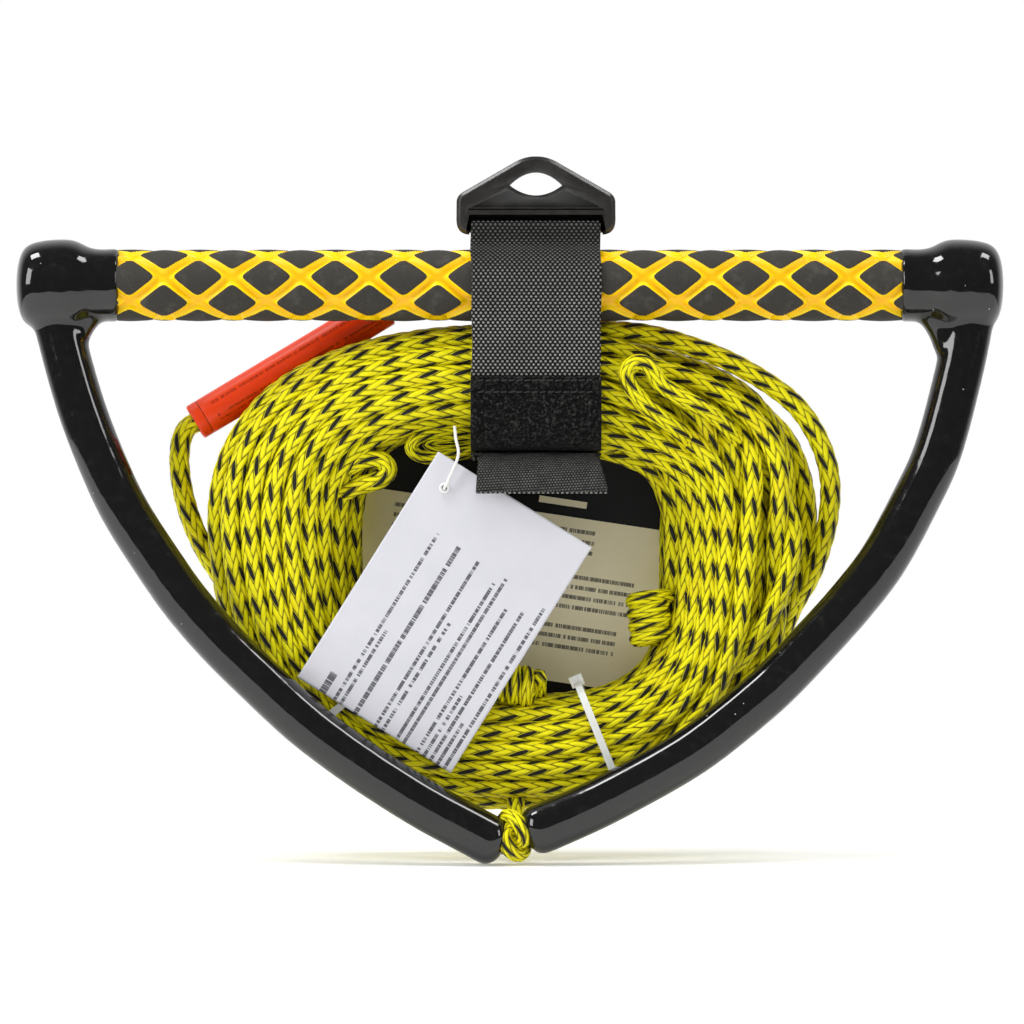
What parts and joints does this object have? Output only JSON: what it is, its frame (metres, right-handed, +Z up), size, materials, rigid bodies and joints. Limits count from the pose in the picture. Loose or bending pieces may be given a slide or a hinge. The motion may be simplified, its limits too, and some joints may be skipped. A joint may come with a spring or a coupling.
{
  "type": "water ski tow rope handle",
  "caption": "Foam-gripped tow bar with moulded bridle legs, its braided tow rope coiled and strapped below, hanging from a plastic hanger.",
  "frame": {"origin": "top of the hanger's eye, where the peg that carries the part bears", "axes": "+X along the bar to the viewer's right, +Z up, -Y is the front that faces the viewer"},
  "size_m": [0.3818, 0.0859, 0.273],
  "materials": {
    "charcoalFoam": "matt charcoal EVA foam, the raised diamonds of the grip",
    "yellowFoam": "yellow EVA foam seen in the grooves of the grip",
    "aluminium": "drawn tube, hidden in the grip",
    "corkFoam": "closed-cell flotation foam",
    "glossBlack": "glossy moulded black vinyl",
    "rope": "yellow hollow-braid polyethylene rope with black flecks",
    "orange": "orange plastic sleeve",
    "hangerBlack": "satin black moulded plastic",
    "webbing": "black woven nylon webbing",
    "loopTape": "black fuzzy loop tape",
    "hookTape": "black hook tape with short nylon hooks",
    "thread": "black sewing thread",
    "nylonWhite": "natural white nylon",
    "paper": "white printed paper",
    "card": "printed card, beige with black bands"
  },
  "bodies": {
    "hanger": {"hanger": "hangerBlack"},
    "bundle": {"strap_webbing": "webbing", "strap_loop_tape": "loopTape", "strap_hook_tape": "hookTape", "stitch_row_upper": "thread", "stitch_row_lower": "thread", "rope_coil": "rope", "rope_strand_left": "rope", "rope_strand_tow": "rope", "rope_strand_right": "rope", "bridle_lead": "rope", "zip_tie_right": "nylonWhite", "zip_tie_left": "nylonWhite", "tag_string": "nylonWhite", "product_card": "card"},
    "handle": {"handle_tube": "aluminium", "tube_plug_left": "corkFoam", "tube_plug_right": "corkFoam", "grip_inner_foam": "yellowFoam", "grip_outer_foam": "charcoalFoam", "bridle_leg_left": "glossBlack", "bridle_leg_right": "glossBlack", "bridle_rope_left": "rope", "bridle_rope_right": "rope", "bridle_knot": "rope"},
    "tail": {"tail_webbing": "webbing", "tail_hook_tape": "hookTape"},
    "tag": {"tag_front_leaf": "paper", "tag_back_leaf": "paper"},
    "sleeve": {"warning_sleeve": "orange"}
  },
  "joints": [
    {"name": "strap_swing", "type": "hinge", "parent": "hanger", "child": "bundle", "pos_m": [0, 0, -0.0212], "axis": [1, 0, 0], "range_deg": [-70, 70]},
    {"name": "handle_swing", "type": "hinge", "parent": "bundle", "child": "handle", "pos_m": [-0.0101, -0.003, -0.0438], "axis": [-1, 0, 0], "range_deg": [0, 15]},
    {"name": "tail_peel", "type": "hinge", "parent": "bundle", "child": "tail", "pos_m": [0, -0.0126, -0.109], "axis": [-1, 0, 0], "range_deg": [0, 45]},
    {"name": "tag_swing", "type": "hinge", "parent": "bundle", "child": "tag", "pos_m": [-0.0354, -0.018, -0.1221], "axis": [0, -1, 0], "range_deg": [0, 9]},
    {"name": "sleeve_slide", "type": "slide", "parent": "bundle", "child": "sleeve", "axis": [0.8548, 0.0687, 0.5145], "range_m": [0, 0.01]}
  ]
}
